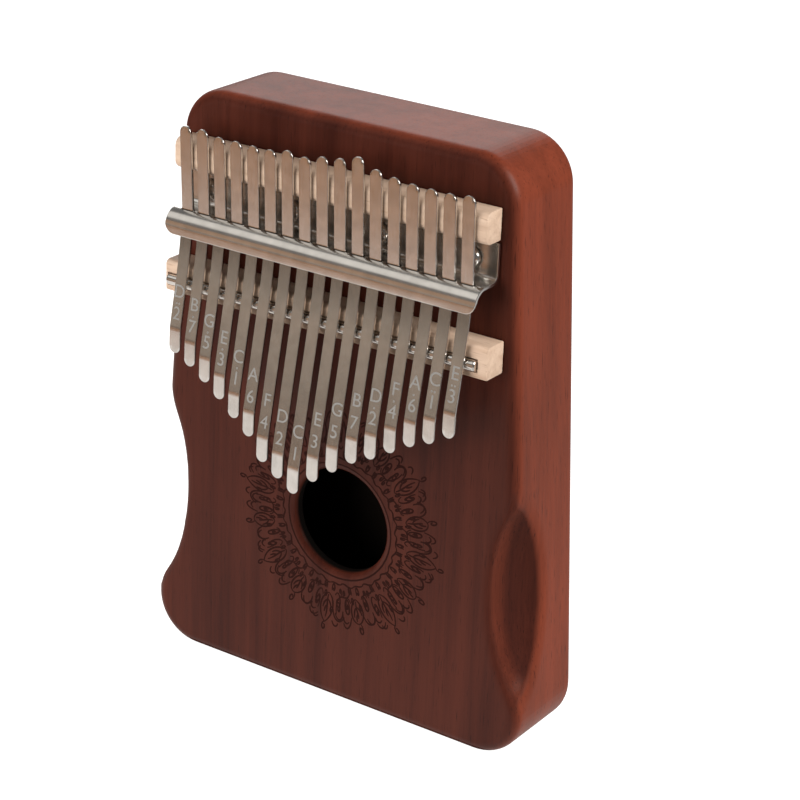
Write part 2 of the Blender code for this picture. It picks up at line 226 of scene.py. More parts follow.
def set_floor():
    material, _, shader = new_material("pale_floor")
    shader.inputs["Base Color"].default_value = (0.28, 0.28, 0.28, 1)
    shader.inputs["Roughness"].default_value = 0.9
    shader.inputs["Specular IOR Level"].default_value = 0.0
    shader.inputs["Emission Color"].default_value = (1, 1, 1, 1)
    shader.inputs["Emission Strength"].default_value = 1.0
    shape = bmesh.new()
    bmesh.ops.create_grid(shape, x_segments=1, y_segments=1, size=40.0)
    floor = finish_piece("floor", shape, material)
    floor.visible_diffuse = False
    floor.visible_glossy = False


def set_lights():
    add_light("window", (0.62, 0.03, 0.52), (0.03, 0, 0.10), (0.42, 0.42), 5.4, (1.0, 0.96, 0.92))
    add_light("overhead", (-0.85, 1.25, 0.85), (0, 0, 0.12), (1.3, 0.8), 7.6, (1.0, 0.98, 0.97))
    fill = add_light("fill", (-0.30, -0.70, 0.20), (0, 0, 0.05), (0.7, 0.5), 6.2, (1.0, 0.97, 0.95))
    fill.visible_glossy = False
    cards = (("near_card", flat_card(-0.45, 0.07, -0.27, 0.3), (0.92, 0.87, 0.83), True),
             ("right_card", flat_card(0.07, 0.36, -0.27, 0.3), (0.62, 0.60, 0.58), True),
             ("back_card", flat_card(-0.45, 0.36, 0.3, 0.6), (0.5, 0.5, 0.5), True),
             ("room_card", flat_card(-1.2, 0.8, -0.52, -0.27), (0.40, 0.205, 0.11), False),
             ("dark_card", flat_card(-1.6, 0.8, -1.0, -0.52), (0.10, 0.085, 0.07), False),
             ("grey_card", flat_card(-2.0, 0.8, -1.25, -1.0), (0.30, 0.26, 0.22), False),
             ("far_card", upright_card(-2.2, 0.8, -1.25, 0.0, 0.1), (0.42, 0.38, 0.33), False),
             ("wall_card", upright_card(-2.2, 0.8, -1.25, 0.1, 0.6), (0.42, 0.265, 0.175), False),
             ("high_card", [(-1.5, -0.55, 0.75), (0.1, -0.95, 0.75), (0.1, -0.55, 1.6), (-1.5, -0.15, 1.6)],
              (0.86, 0.82, 0.77), False))
    for name, corners, colour, lights in cards:
        add_card(name, corners, glow(name, colour), lights)


# ---------------------------------------------------------------- tools of the bench

def new_material(name):
    material = bpy.data.materials.new(name)
    material.use_nodes = True
    return material, material.node_tree, material.node_tree.nodes["Principled BSDF"]


def add_node(tree, kind, inputs=None, **settings):
    node = tree.nodes.new(kind)
    for key, value in settings.items():
        setattr(node, key, value)
    for key, value in (inputs or {}).items():
        if isinstance(value, bpy.types.NodeSocket):
            tree.links.new(value, node.inputs[key])
        else:
            node.inputs[key].default_value = value
    return node


def finish_piece(name, shape, material, smooth=40):
    """Turn a bmesh into a piece with its material, smooth but for its crisp edges."""
    mesh = bpy.data.meshes.new(name)
    shape.to_mesh(mesh)
    shape.free()
    piece = bpy.data.objects.new(name, mesh)
    bpy.context.scene.collection.objects.link(piece)
    mesh.materials.append(material)
    mesh.shade_smooth()
    mesh.set_sharp_from_angle(angle=math.radians(smooth))
    return piece


def weigh_normals(piece):
    """Shade large flat faces evenly beside small rounded ones."""
    weighted = piece.modifiers.new("even shading", "WEIGHTED_NORMAL")
    weighted.keep_sharp = True
    weighted.weight = 100


def apply_cuts(piece, cutters, operation="DIFFERENCE"):
    """Cut the piece with its cutters, or keep only what lies inside them, and remove the cutters."""
    for cutter in cutters:
        cut = piece.modifiers.new("cut", "BOOLEAN")
        cut.operation = operation
        cut.solver = "EXACT"
        cut.object = cutter
    graph = bpy.context.evaluated_depsgraph_get()
    mesh = bpy.data.meshes.new_from_object(piece.evaluated_get(graph))
    piece.modifiers.clear()
    piece.data = mesh
    for cutter in cutters:
        bpy.data.objects.remove(cutter, do_unlink=True)


def smooth_again(piece, angle):
    piece.data.shade_smooth()
    piece.data.set_sharp_from_angle(angle=math.radians(angle))


def mesh_of(curve):
    """Mesh of a curve or a text, which leaves no object behind."""
    item = bpy.data.objects.new(curve.name, curve)
    bpy.context.scene.collection.objects.link(item)
    graph = bpy.context.evaluated_depsgraph_get()
    mesh = bpy.data.meshes.new_from_object(item.evaluated_get(graph))
    bpy.data.objects.remove(item, do_unlink=True)
    return mesh


# ---------------------------------------------------------------- steps of a finish

def place_on_piece(tree):
    return add_node(tree, "ShaderNodeTexCoord").outputs["Object"]


def axes_of(tree, place):
    return add_node(tree, "ShaderNodeSeparateXYZ", {"Vector": place}).outputs


def stretched(tree, place, scale):
    return add_node(tree, "ShaderNodeMapping", {"Vector": place, "Scale": scale}).outputs[0]


def noise(tree, place, scale, detail, roughness=0.5, distortion=0.0):
    node = add_node(tree, "ShaderNodeTexNoise", {"Vector": place, "Scale": scale, "Detail": detail,
                                                 "Roughness": roughness, "Distortion": distortion})
    return node.outputs["Fac"]


def calculate(tree, operation, first, second=0.0):
    return add_node(tree, "ShaderNodeMath", {0: first, 1: second}, operation=operation).outputs[0]


def scaled(tree, value, amount):
    return calculate(tree, "MULTIPLY", value, amount)


def ramp(tree, value, start, end, first=0.0, last=1.0):
    """Goes from the first to the last result while the value goes from start to end."""
    node = add_node(tree, "ShaderNodeMapRange", {"Value": value, "From Min": start, "From Max": end,
                                                 "To Min": first, "To Max": last})
    return node.outputs[0]


def mix_colour(tree, factor, first, second):
    """Mix of two colours; the Mix node keeps its colours in sockets 6, 7 and 2."""
    node = tree.nodes.new("ShaderNodeMix")
    node.data_type = "RGBA"
    tree.links.new(factor, node.inputs[0])
    for socket, value in ((node.inputs[6], first), (node.inputs[7], second)):
        if isinstance(value, bpy.types.NodeSocket):
            tree.links.new(value, socket)
        else:
            socket.default_value = (*value, 1)
    return node.outputs[2]


def toned(colour, amount):
    return tuple(channel * amount for channel in colour)


def bump_surface(tree, shader, height, strength, depth):
    bump = add_node(tree, "ShaderNodeBump", {"Height": height, "Strength": strength, "Distance": depth})
    tree.links.new(bump.outputs[0], shader.inputs["Normal"])


def spread_from_middle(tree, axes):
    """Distance from the middle, measured so that the leaning sides lie at one value."""
    across = calculate(tree, "ABSOLUTE", axes["X"])
    return calculate(tree, "ADD", across, scaled(tree, axes["Z"], math.tan(TAPER)))


def outside_scoops(tree, axes, edge, blur):
    """Zero on the two palm scoops, one on the rest of the body."""
    away = calculate(tree, "ABSOLUTE", calculate(tree, "SUBTRACT", axes["Z"], SCOOP_CENTRE))
    beyond = ramp(tree, away, SCOOP_LENGTH / 2 - 0.002, SCOOP_LENGTH / 2 + 0.001)
    side = BOTTOM_WIDTH / 2 - edge
    flat = ramp(tree, spread_from_middle(tree, axes), side - blur, side)
    rear = ramp(tree, axes["Y"], FRONT + SCOOP_RADIUS, FRONT + SCOOP_RADIUS + 0.002)
    return calculate(tree, "MAXIMUM", calculate(tree, "MAXIMUM", beyond, flat), rear)


def lit_side_mask(tree, place):
    """One behind the front edge, where the sides get their brighter painted key light, except deep in the
    two scoops.
    """
    axes = axes_of(tree, place)
    behind = ramp(tree, axes["Y"], FRONT + 0.0004, FRONT + 0.0026)
    # Painted lit band: the front part of each scoop gets some of the lit side colour.
    lit_scoop_front = ramp(tree, axes["Y"], FRONT + 0.0045, FRONT + 0.0070, 0.42, 0.0)
    clear = outside_scoops(tree, axes, 0.0006, 0.0012)
    return calculate(tree, "MULTIPLY", behind, calculate(tree, "MAXIMUM", clear, lit_scoop_front))


def scoop_roughness(tree, place):
    """Roughness of the hand-worn scoops, zero elsewhere."""
    axes = axes_of(tree, place)
    carved = ramp(tree, outside_scoops(tree, axes, 0.0004, 0.0010), 0.0, 1.0, 0.8, 0.0)
    behind = calculate(tree, "GREATER_THAN", axes["Y"], FRONT + 0.0006)
    return calculate(tree, "MULTIPLY", behind, carved)


def shaded_inside_mask(tree, place):
    """One on the walls of the hollow, which take painted shade, zero on the outside of the body."""
    axes = axes_of(tree, place)
    spread = spread_from_middle(tree, axes)
    mask = ramp(tree, axes["Y"], FRONT + 0.0008, FRONT + 0.0018)
    for operation, value, limit in (("LESS_THAN", spread, BOTTOM_WIDTH / 2 - 0.0105),
                                    ("LESS_THAN", axes["Y"], BACK - 0.0028),
                                    ("GREATER_THAN", axes["Z"], 0.0105),
                                    ("LESS_THAN", axes["Z"], 0.150)):
        mask = calculate(tree, "MULTIPLY", mask, calculate(tree, operation, value, limit))
    return mask


# ---------------------------------------------------------------- finishes

def lacquered_wood(name, dark, light):
    """Straight-grained wood under stain and lacquer, its grain along Z; sides painted brighter and redder
    as painted key light, and the walls of the hollow painted near-black as painted shade.
    """
    material, tree, shader = new_material(name)
    place = place_on_piece(tree)
    along = stretched(tree, place, (1000, 1000, 28))
    broad = noise(tree, along, 0.13, 4.0, 0.55, 0.4)
    fine = noise(tree, along, 1.1, 5.0, 0.6)
    patches = noise(tree, stretched(tree, place, (1000, 1000, 420)), 0.035, 2.0)
    pores = ramp(tree, noise(tree, stretched(tree, place, (1000, 1000, 60)), 2.4, 2.0), 0.61, 0.72)
    grain = calculate(tree, "ADD", scaled(tree, broad, 0.45), scaled(tree, fine, 0.25))
    figured = calculate(tree, "ADD", grain, scaled(tree, patches, 0.30))
    tone = ramp(tree, figured, 0.38, 0.62)
    front = mix_colour(tree, tone, dark, light)
    # Painted light: the sides take a brighter, redder copy of the wood, as if lit by the key light.
    sides = mix_colour(tree, tone, toned(LIT_SIDE_RED, 0.72), toned(LIT_SIDE_RED, 1.25))
    stained_and_side_lit = mix_colour(tree, lit_side_mask(tree, place), front, sides)
    pored = mix_colour(tree, scaled(tree, pores, 0.6), stained_and_side_lit, toned(dark, 0.4))
    # Painted shade: the walls of the hollow go near-black.
    shaded_inside = mix_colour(tree, shaded_inside_mask(tree, place), pored, INSIDE_PAINTED_SHADE)
    tree.links.new(shaded_inside, shader.inputs["Base Color"])
    lacquer = ramp(tree, fine, 0.0, 1.0, 0.36, 0.54)
    worn = calculate(tree, "MAXIMUM", lacquer, scoop_roughness(tree, place))
    tree.links.new(worn, shader.inputs["Roughness"])
    bump_surface(tree, shader, calculate(tree, "SUBTRACT", fine, pores), 0.12, 0.00015)
    shader.inputs["Specular IOR Level"].default_value = 0.15
    shader.inputs["Coat Weight"].default_value = 0.05
    shader.inputs["Coat Roughness"].default_value = 0.2
    return material


def pale_wood(name):
    """Sanded beech with short brown flecks, its grain along X."""
    material, tree, shader = new_material(name)
    along = stretched(tree, place_on_piece(tree), (60, 1000, 1000))
    grain = noise(tree, along, 0.5, 5.0)
    flecks = ramp(tree, noise(tree, along, 3.2, 1.0), 0.62, 0.74)
    colour = mix_colour(tree, ramp(tree, grain, 0.3, 0.7), (0.63, 0.445, 0.32), (0.78, 0.59, 0.45))
    flecked = mix_colour(tree, scaled(tree, flecks, 0.5), colour, (0.36, 0.20, 0.11))
    tree.links.new(flecked, shader.inputs["Base Color"])
    shader.inputs["Roughness"].default_value = 0.58
    bump_surface(tree, shader, grain, 0.2, 0.0001)
    return material


def polished_steel(name, rough, scratch_scale):
    """Polished spring steel, faintly clouded, with scratches along the piece."""
    material, tree, shader = new_material(name)
    place = place_on_piece(tree)
    scratches = noise(tree, stretched(tree, place, scratch_scale), 4.0, 3.0)
    clouds = noise(tree, stretched(tree, place, (1000, 1000, 1000)), 0.22, 3.0)
    colour = mix_colour(tree, ramp(tree, clouds, 0.3, 0.7), toned(STEEL, 0.86), STEEL)
    tree.links.new(colour, shader.inputs["Base Color"])
    polish = ramp(tree, scratches, 0.3, 0.7, rough * 0.88, rough * 1.16)
    tree.links.new(polish, shader.inputs["Roughness"])
    shader.inputs["Metallic"].default_value = 1.0
    bump_surface(tree, shader, scratches, 0.03, 0.00005)
    return material


def frosted_mark(name):
    """Etched steel of the note names, matt and pale."""
    material, tree, shader = new_material(name)
    grain = noise(tree, place_on_piece(tree), 6000.0, 2.0)
    colour = mix_colour(tree, grain, (0.27, 0.26, 0.245), (0.45, 0.44, 0.42))
    tree.links.new(colour, shader.inputs["Base Color"])
    shader.inputs["Metallic"].default_value = 0.35
    shader.inputs["Roughness"].default_value = 0.7
    return material


def burnt_wood(name):
    """Engraved lines, burnt dark and matt."""
    material, tree, shader = new_material(name)
    grain = noise(tree, place_on_piece(tree), 1500.0, 3.0)
    colour = mix_colour(tree, grain, (0.014, 0.0042, 0.0032), (0.030, 0.0090, 0.0068))
    tree.links.new(colour, shader.inputs["Base Color"])
    shader.inputs["Roughness"].default_value = 0.8
    shader.inputs["Specular IOR Level"].default_value = 0.08
    return material


# ---------------------------------------------------------------- wooden body

def half_width(height):
    """Half the body's width at a height."""
    return BOTTOM_WIDTH / 2 - height / HEIGHT * (BOTTOM_WIDTH - TOP_WIDTH) / 2


def rounded_slab(inset, low, high, low_radius, high_radius, front, back, segments):
    """Trapezium slab that follows the body's sides, its four upright corners rounded."""
    side = inset / math.cos(TAPER)
    shape = bmesh.new()
    corners = [shape.verts.new((x * (half_width(z) - side), front, z))
               for x, z in ((-1, low), (1, low), (1, high), (-1, high))]
    shape.faces.new(corners)
    for pair, radius in ((corners[:2], low_radius), (corners[2:], high_radius)):
        bmesh.ops.bevel(shape, geom=pair, offset=radius, offset_type="OFFSET", segments=segments,
                        profile=0.5, affect="VERTICES", material=-1)
    sheet = list(shape.faces)
    extruded = bmesh.ops.extrude_face_region(shape, geom=sheet)
    moved = [item for item in extruded["geom"] if isinstance(item, bmesh.types.BMVert)]
    bmesh.ops.translate(shape, verts=moved, vec=(0, back - front, 0))
    bmesh.ops.recalc_face_normals(shape, faces=shape.faces)
    return shape


def round_rims(shape, planes, radius, segments):
    """Round the edges that lie wholly in one of the planes of constant y."""
    rims = [edge for edge in shape.edges
            if any(all(abs(vert.co.y - plane) < 1e-6 for vert in edge.verts) for plane in planes)]
    round_edges(shape, rims, radius, segments)


def turned_shape(profile, centre, steps=96):
    """Closed shape turned about an axis along Y; profile is (radius, depth behind the centre)."""
    shape = bmesh.new()
    verts = [shape.verts.new((radius, depth, 0)) for radius, depth in profile]
    edges = [shape.edges.new(pair) for pair in zip(verts, verts[1:])]
    bmesh.ops.spin(shape, geom=verts + edges, cent=(0, 0, 0), axis=(0, 1, 0), angle=2 * math.pi,
                   steps=steps, use_merge=True)
    bmesh.ops.remove_doubles(shape, verts=shape.verts, dist=1e-6)
    bmesh.ops.recalc_face_normals(shape, faces=shape.faces)
    bmesh.ops.translate(shape, verts=shape.verts, vec=centre)
    return shape


def carve_scoops(shape):
    """Press the front edge of each side inwards onto an egg-shaped hollow, then soften its rim."""
    softened = []
    soft_band, soft_rounds = 0.10, 14
    for side in (-1, 1):
        centre = Vector((side * (half_width(SCOOP_CENTRE) + SCOOP_OUT), FRONT, SCOOP_CENTRE))
        stretch = Matrix.Diagonal((SCOOP_RADIUS, SCOOP_RADIUS, SCOOP_LENGTH / 2))
        egg = Matrix.Rotation(-side * TAPER, 3, "Y") @ stretch
        to_unit = egg.inverted()
        inward = Vector((-side * 0.84, 0.54, 0))
        ray = to_unit @ inward
        for vert in shape.verts:
            start = to_unit @ (vert.co - centre)
            if start.length < 1.0:
                half = start.dot(ray)
                reach = -half + math.sqrt(half * half + ray.length_squared * (1 - start.length_squared))
                vert.co += inward * (reach / ray.length_squared)
            if abs(start.length - 1.0) < soft_band:
                softened.append(vert)
    for _ in range(soft_rounds):
        bmesh.ops.smooth_vert(shape, verts=softened, factor=0.5, use_axis_x=True, use_axis_y=True,
                              use_axis_z=True)


def slice_for_scoops(shape):
    """Cut the faces round the scoops into a fine grid of even rows, so they can be pressed in."""
    rows, columns, layers = 56, 17, 21
    reach = SCOOP_LENGTH / 2 + 0.003
    start = EDGE_ROUND - 0.0001
    pitch = 0.0009
    for row in range(rows + 1):
        slice_plane(shape, (0, 0, SCOOP_CENTRE + reach * (2 * row / rows - 1)), (0, 0, 1))
    for side in (-1, 1):
        normal = Vector((math.cos(TAPER), 0, side * math.sin(TAPER)))
        for step in range(1, columns + 1):
            inset = start + pitch * step
            slice_plane(shape, (side * (half_width(0) - inset), 0, 0), normal)
    for step in range(1, layers + 1):
        slice_plane(shape, (0, FRONT + start + pitch * step, 0), (0, 1, 0))


def slice_plane(shape, point, normal):
    bmesh.ops.bisect_plane(shape, geom=list(shape.verts) + list(shape.edges) + list(shape.faces),
                           dist=1e-7, plane_co=point, plane_no=normal)


def make_body(wood):
    """Hollow body: rounded outside with two palm scoops, sound hole, and a rebate for the back plate."""
    shape = rounded_slab(0, 0, HEIGHT, BOTTOM_CORNER, TOP_CORNER, FRONT, BACK, 14)
    round_rims(shape, (FRONT, BACK), EDGE_ROUND, 8)
    slice_for_scoops(shape)
    carve_scoops(shape)
    body = finish_piece("body", shape, wood)

    hollow_top = ROD_LOW.z + HOLLOW_ABOVE_ROD
    beyond_back = BACK + 0.005
    hollow = rounded_slab(SIDE_WALL, SIDE_WALL, hollow_top, HOLLOW_CORNER, HOLLOW_CORNER,
                          FRONT + SOUNDBOARD, beyond_back, 6)
    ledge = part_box("back_plate")[0].y - 0.0003
    outer = SIDE_WALL - REBATE
    corner = HOLLOW_CORNER + REBATE
    rebate = rounded_slab(outer, outer, hollow_top + REBATE, corner, corner, ledge, beyond_back, 6)
    profile = [(0.0, -HOLE_ROUND), (HOLE_RADIUS + HOLE_ROUND, -HOLE_ROUND)]
    for step in range(9):
        angle = math.pi / 2 * step / 8
        profile.append((HOLE_RADIUS + HOLE_ROUND * (1 - math.sin(angle)),
                        HOLE_ROUND * (1 - math.cos(angle))))
    profile += [(HOLE_RADIUS, 2 * SOUNDBOARD), (0.0, 2 * SOUNDBOARD)]
    hole = turned_shape(profile, HOLE_CENTRE)
    cutters = [finish_piece(name, cutter, wood) for name, cutter in
               (("hollow", hollow), ("rebate", rebate), ("hole", hole))]
    apply_cuts(body, cutters)
    smooth_again(body, 35)
    weigh_normals(body)
    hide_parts("body_shell")
    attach(body, "body")


# ---------------------------------------------------------------- keys

def stand_off(height, tip):
    """How far the back of a key that ends at the tip stands off the soundboard at a height."""
    if height >= PRESS:
        return BACK_AT_PRESS + KEY_LEAN * (height - PRESS)
    if height >= ROD:
        along = (PRESS - height) / SPAN
        return BACK_AT_PRESS + SPAN * along * (START_SLOPE + (KEY_SLOPE - START_SLOPE) * along / 2)
    below = ROD - height
    straight = ROD - tip - TIP_FLAT
    if below <= straight:
        return BACK_AT_ROD + KEY_SLOPE * below
    past = below - straight
    bent = min(past, BEND_LENGTH)
    curve = KEY_SLOPE * bent + (TIP_SLOPE - KEY_SLOPE) * bent * bent / (2 * BEND_LENGTH)
    return BACK_AT_ROD + KEY_SLOPE * straight + curve + TIP_SLOPE * (past - bent)


def key_stations(top, tip, radius):
    """Heights of a key's cross lines, from its rounded top to its rounded tip."""
    bend_top = tip + TIP_FLAT
    stations = [top, top - 1.1 * radius, PRESS]
    stations += [PRESS - SPAN * step / 12 for step in range(1, 13)]
    stations += [ROD - (ROD - bend_top) * step / 4 for step in range(1, 5)]
    stations += [bend_top - BEND_LENGTH * step / 5 for step in range(1, 6)]
    return stations + [tip + 1.1 * radius, tip]


def make_key(number, steel):
    """Flat spring strip, bent between the bars and at its tip, with rounded ends."""
    shank, tongue = f"tine_{number:02d}_shank", f"tine_{number:02d}_tongue"
    low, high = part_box(shank)
    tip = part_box(tongue)[0].z
    centre = (low.x + high.x) / 2
    radius = (high.x - low.x) / 2
    stations = key_stations(high.z, tip, radius)
    shape = bmesh.new()
    bmesh.ops.create_grid(shape, x_segments=12, y_segments=len(stations) - 1, size=1.0)
    rows = sorted({round(vert.co.y, 5) for vert in shape.verts}, reverse=True)
    for vert in shape.verts:
        row = rows.index(round(vert.co.y, 5))
        across = math.sin(vert.co.x * math.pi / 2)
        bow = radius * (math.sqrt(max(0.0, 1 - across * across)) - 1)
        height = stations[row]
        if row == 0:
            height += bow
        if row == len(stations) - 1:
            height -= bow
        vert.co = (centre + across * radius, FRONT - stand_off(height, tip), height)
    bmesh.ops.recalc_face_normals(shape, faces=shape.faces)
    if shape.faces[0].normal.y > 0:
        bmesh.ops.reverse_faces(shape, faces=shape.faces)
    bmesh.ops.solidify(shape, geom=list(shape.faces), thickness=-KEY_THICKNESS)
    bmesh.ops.recalc_face_normals(shape, faces=shape.faces)
    round_edges(shape, crisp_edges(shape), KEY_EDGE, 2)
    key = finish_piece(f"key_{number:02d}", shape, steel, smooth=50)
    weigh_normals(key)
    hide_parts(shank, tongue)
    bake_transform(key)


def text_mesh(text):
    """Flat letters a hair thick, centred on the origin, as a mesh."""
    font = bpy.data.curves.new("letters", "FONT")
    font.body = text
    font.size = NOTE_SIZE
    font.extrude = 0.00002
    font.align_x = "CENTER"
    font.align_y = "CENTER"
    return mesh_of(font)


def make_note(number, mark):
    """Letter, octave dots and number etched on the slope of a key, just above its bend."""
    low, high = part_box(f"tine_{number:02d}_tongue")
    centre = (low.x + high.x) / 2
    tilt = math.atan(KEY_SLOPE)
    lean, rise = math.sin(tilt), math.cos(tilt)
    lay = Matrix(((1, 0, 0), (0, lean, -rise), (0, rise, lean))).to_4x4()

    def on_key(across, above_bend):
        height = low.z + TIP_FLAT + above_bend
        face = FRONT - stand_off(height, low.z) - KEY_THICKNESS / rise
        return Matrix.Translation((centre + across, face - NOTE_PROUD, height)) @ lay

    shape = bmesh.new()
    letter, figure = NOTES[number - 1]
    for text, above_bend in ((figure, FIGURE_ABOVE_BEND), (letter, LETTER_ABOVE_BEND)):
        mesh = text_mesh(text)
        mesh.transform(on_key(0.0, above_bend))
        shape.from_mesh(mesh)
        bpy.data.meshes.remove(mesh)
    dots = OCTAVE_DOTS[number - 1]
    for dot in range(dots):
        across = (dot - (dots - 1) / 2) * DOT_PITCH
        bmesh.ops.create_cone(shape, cap_ends=True, segments=12, radius1=DOT_RADIUS, radius2=DOT_RADIUS,
                              depth=0.00004, matrix=on_key(across, DOTS_ABOVE_BEND))
    note = finish_piece(f"note_{number:02d}", shape, mark)
    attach(note, f"tongue_{number:02d}")


# ---------------------------------------------------------------- bars, rod, bracket and screws

def add_block(shape, middle, size):
    place = Matrix.Translation(middle) @ Matrix.Diagonal((*size, 1))
    bmesh.ops.create_cube(shape, size=1.0, matrix=place)


def fitted_block(low, high):
    """Block that fills a box, as a bmesh."""
    shape = bmesh.new()
    add_block(shape, (low + high) / 2, high - low)
    return shape


def edges_where(shape, test):
    """Edges whose two ends both pass the test."""
    return [edge for edge in shape.edges if all(test(vert.co) for vert in edge.verts)]


def crisp_edges(shape):
    return [edge for edge in shape.edges if edge.calc_face_angle(0) > math.radians(60)]


def round_edges(shape, edges, radius, segments):
    bmesh.ops.bevel(shape, geom=edges, offset=radius, segments=segments, profile=0.5, affect="EDGES",
                    material=-1)


def make_bar(node, top_radius, bottom_radius, wood, grooves=()):
    """Wooden bar glued to the front, its two front edges rounded over and its ends eased."""
    low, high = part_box(node)
    shape = fitted_block(low, high)
    for height, radius in ((high.z, top_radius), (low.z, bottom_radius)):
        rim = edges_where(shape, lambda at: abs(at.y - low.y) < 1e-6 and abs(at.z - height) < 1e-6)
        round_edges(shape, rim, radius, 8)
    ends = edges_where(shape, lambda at: abs(abs(at.x) - high.x) < 1e-6)
    round_edges(shape, ends, BAR_END_ROUND, 3)
    bar = finish_piece(node + "_wood", shape, wood)
    if grooves:
        apply_cuts(bar, grooves)
        smooth_again(bar, 35)
    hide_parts(node)
    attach(bar, "body")


def rod_shape(low, high, spare):
    """Round bar along X that fills a box, thicker and longer all round by the spare."""
    shape = bmesh.new()
    middle = (low + high) / 2
    radius = (high.z - low.z) / 2 + spare
    turn = Matrix.Translation(middle) @ Matrix.Rotation(math.pi / 2, 4, "Y")
    bmesh.ops.create_cone(shape, cap_ends=True, segments=64, radius1=radius, radius2=radius,
                          depth=high.x - low.x + 2 * spare, matrix=turn)
    return shape


def make_rod(steel):
    """Saddle rod; returns the cutter for its groove in the lower bridge."""
    shape = rod_shape(ROD_LOW, ROD_HIGH, 0.0)
    ends = edges_where(shape, lambda at: at.x > ROD_HIGH.x - 1e-6)
    ends += edges_where(shape, lambda at: at.x < ROD_LOW.x + 1e-6)
    round_edges(shape, ends, ROD_END_ROUND, 5)
    rod = finish_piece("saddle_rod_steel", shape, steel)
    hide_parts("saddle_rod")
    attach(rod, "body")
    return finish_piece("groove", rod_shape(ROD_LOW, ROD_HIGH, GROOVE_CLEAR), steel)


def folded_sheet(low, high):
    """Foot, web and lip as one bent sheet with its full thickness, a little too long at both ends."""
    foot_front = high.y - SHEET
    web_top = low.z + LIP_HEIGHT
    line = ((foot_front, high.z), (foot_front, web_top), (low.y, web_top), (low.y, low.z))
    shape = bmesh.new()
    chain = [shape.verts.new((low.x - 0.001, y, z)) for y, z in line]
    edges = [shape.edges.new(pair) for pair in zip(chain, chain[1:])]
    swept = bmesh.ops.extrude_edge_only(shape, edges=edges)["geom"]
    far = [item for item in swept if isinstance(item, bmesh.types.BMVert)]
    bmesh.ops.translate(shape, verts=far, vec=(high.x - low.x + 0.002, 0, 0))
    for depth, radius in ((low.y, FOLD_ROUND), (foot_front, FOOT_ROUND)):
        fold = edges_where(shape, lambda at: abs(at.z - web_top) < 1e-6 and abs(at.y - depth) < 1e-6)
        round_edges(shape, fold, radius, 16)
    bmesh.ops.recalc_face_normals(shape, faces=shape.faces)
    foot = max(shape.faces, key=lambda face: face.calc_center_median().z)
    if foot.normal.y > 0:
        bmesh.ops.reverse_faces(shape, faces=shape.faces)
    bmesh.ops.solidify(shape, geom=list(shape.faces), thickness=SHEET)
    bmesh.ops.recalc_face_normals(shape, faces=shape.faces)
    return shape


def lip_outline(low, high):
    """Block as wide as the bracket, with the lip's two lower corners rounded."""
    shape = fitted_block(low - Vector((0, 0.002, 0)), high + Vector((0, 0.002, 0.001)))
    bottom = edges_where(shape, lambda at: at.z < low.z + 1e-6)
    corners = [edge for edge in bottom if abs(edge.verts[0].co.x - edge.verts[1].co.x) < 1e-6]
    round_edges(shape, corners, LIP_CORNER, 12)
    return shape


def key_slots():
    """Rounded slots in the web, one for each key to pass through."""
    shape = bmesh.new()
    deep = KEY_THICKNESS + 2 * SLOT_GAP
    nearest = FRONT - BACK_AT_PRESS + SLOT_GAP
    for number in range(1, KEYS + 1):
        low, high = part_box(f"tine_{number:02d}_shank")
        centre = ((low.x + high.x) / 2, nearest - deep / 2, PRESS)
        add_block(shape, centre, (high.x - low.x + 2 * SLOT_GAP, deep, 3 * SHEET))
    upright = [edge for edge in shape.edges if abs(edge.verts[0].co.z - edge.verts[1].co.z) > SHEET]
    round_edges(shape, upright, SLOT_ROUND, 4)
    return shape


def pin_hole(number, foot_front):
    """Hole in the foot for one screw."""
    low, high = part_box(f"bracket_screw_{number}")
    shape = bmesh.new()
    place = Matrix.Translation(((low.x + high.x) / 2, foot_front, (low.z + high.z) / 2))
    bmesh.ops.create_cone(shape, cap_ends=True, segments=32, radius1=PIN_HOLE, radius2=PIN_HOLE,
                          depth=3 * SHEET, matrix=place @ Matrix.Rotation(math.pi / 2, 4, "X"))
    return shape


def make_bracket(steel):
    """One folded sheet: foot, slotted web and a lip with rounded corners."""
    low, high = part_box("pressure_bracket")
    bracket = finish_piece("bracket_sheet", folded_sheet(low, high), steel)
    apply_cuts(bracket, [finish_piece("outline", lip_outline(low, high), steel)], "INTERSECT")
    shape = bmesh.new()
    shape.from_mesh(bracket.data)
    bmesh.ops.remove_doubles(shape, verts=shape.verts, dist=1e-6)
    round_edges(shape, crisp_edges(shape), SHEET_RIM, 2)
    shape.to_mesh(bracket.data)
    shape.free()
    cutters = [finish_piece("slots", key_slots(), steel)]
    cutters += [finish_piece("pin_hole", pin_hole(number, high.y - SHEET), steel)
                for number in range(1, SCREWS + 1)]
    apply_cuts(bracket, cutters)
    smooth_again(bracket, 35)
    weigh_normals(bracket)
    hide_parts("pressure_bracket")
    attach(bracket, "body")


